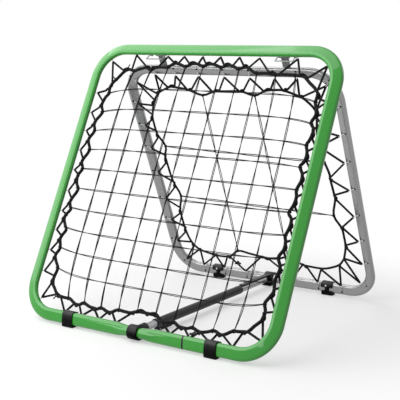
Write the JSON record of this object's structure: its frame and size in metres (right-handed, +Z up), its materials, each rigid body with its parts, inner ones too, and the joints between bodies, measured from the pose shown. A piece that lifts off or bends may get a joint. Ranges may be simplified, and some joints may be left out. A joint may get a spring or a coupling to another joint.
{
  "type": "pitch back rebounder",
  "caption": "Folding A-shaped ball rebounder: a rounded tube frame with a laced target net, a wide-mesh net behind, and a telescopic stay between their feet.",
  "frame": {"origin": "on the ground, midway between the two bottom bars", "axes": "+Z up, +X across the frames, -Y towards the thrower, out of the front net"},
  "size_m": [1.0436, 0.92, 0.9534],
  "materials": {
    "green_paint": "gloss paint on steel tube",
    "silver_paint": "silver powder coat on steel tube",
    "bare_steel": "zinc-plated steel",
    "twine": "knotted polyester twine",
    "rope": "braided cover",
    "bungee": "braided elastic cord",
    "crimp": "moulded",
    "foot": "moulded",
    "dark_steel": "dark paint",
    "collar": "moulded nylon",
    "sleeve": "satin black paint",
    "tube_silver": "bright drawn tube",
    "bush": "moulded"
  },
  "bodies": {
    "front_frame": {"front_tube": "green_paint", "front_tube_spigot": "bare_steel", "front_net": "twine", "front_border_rope": "rope", "front_bungee": "bungee", "front_bungee_crimp": "crimp", "front_hooks": "bare_steel", "front_foot_left": "foot", "front_foot_right": "foot", "front_foot_screws": "bare_steel", "hinge_lugs": "dark_steel", "hinge_pins": "bare_steel"},
    "rear_frame": {"rear_tube": "silver_paint", "rear_tube_spigot": "bare_steel", "rear_net": "twine", "rear_border_rope": "rope", "rear_bungee": "bungee", "rear_bungee_crimp": "crimp", "rear_hooks": "bare_steel", "rear_foot_left": "foot", "rear_foot_right": "foot", "rear_foot_screws": "bare_steel", "hinge_arms": "dark_steel"},
    "stay_front": {"stay_collar": "collar", "stay_collar_cap": "collar", "stay_collar_screws": "bare_steel", "stay_front_tube": "tube_silver", "stay_slide_plug": "bush"},
    "stay_slider": {"stay_sleeve": "sleeve", "stay_mouth_bush": "bush", "stay_rear_bush": "bush", "stay_rear_tube": "tube_silver", "stay_end_plug": "bush", "trigger_housing": "collar", "trigger_pin": "bare_steel"},
    "trigger": {"stay_trigger": "collar"},
    "rear_collar": {"rear_collar": "collar", "rear_collar_cap": "collar", "rear_collar_screws": "bare_steel", "tongue_stud": "bare_steel"},
    "bail_left": {"bail_left": "bare_steel"},
    "bail_right": {"bail_right": "bare_steel"}
  },
  "joints": [
    {"name": "frame_fold", "type": "hinge", "parent": "front_frame", "child": "rear_frame", "pos_m": [0, 0.05983, 0.91919], "axis": [1, 0, 0], "range_deg": [-48, 0]},
    {"name": "stay_swing", "type": "hinge", "parent": "front_frame", "child": "stay_front", "pos_m": [-0.008, -0.435, 0.02942], "axis": [1, 0, 0], "range_deg": [-117, 0]},
    {"name": "stay_slide", "type": "slide", "parent": "stay_front", "child": "stay_slider", "axis": [0, 1, 0], "range_m": [-0.05, 0]},
    {"name": "trigger_press", "type": "hinge", "parent": "stay_slider", "child": "trigger", "pos_m": [-0.008, -0.308, 0.01012], "axis": [1, 0, 0], "range_deg": [0, 5], "stiffness_Nm_per_rad": 0.6, "springref_deg": -2.86},
    {"name": "collar_turn", "type": "hinge", "parent": "rear_frame", "child": "rear_collar", "pos_m": [-0.008, 0.435, 0.02942], "axis": [1, 0, 0], "range_deg": [0, 111]},
    {"name": "bail_swing_left", "type": "hinge", "parent": "front_frame", "child": "bail_left", "pos_m": [0, 0.05983, 0.91919], "axis": [1, 0, 0], "range_deg": [-20, 20]},
    {"name": "bail_swing_right", "type": "hinge", "parent": "front_frame", "child": "bail_right", "pos_m": [0, 0.05983, 0.91919], "axis": [1, 0, 0], "range_deg": [-20, 20]}
  ],
  "couplings": [
    {"joint": "stay_swing", "follows": "frame_fold", "ratio": 2.43},
    {"joint": "stay_slide", "follows": "frame_fold", "m_per_rad": 0.0596},
    {"joint": "collar_turn", "follows": "frame_fold", "ratio": -2.31}
  ]
}
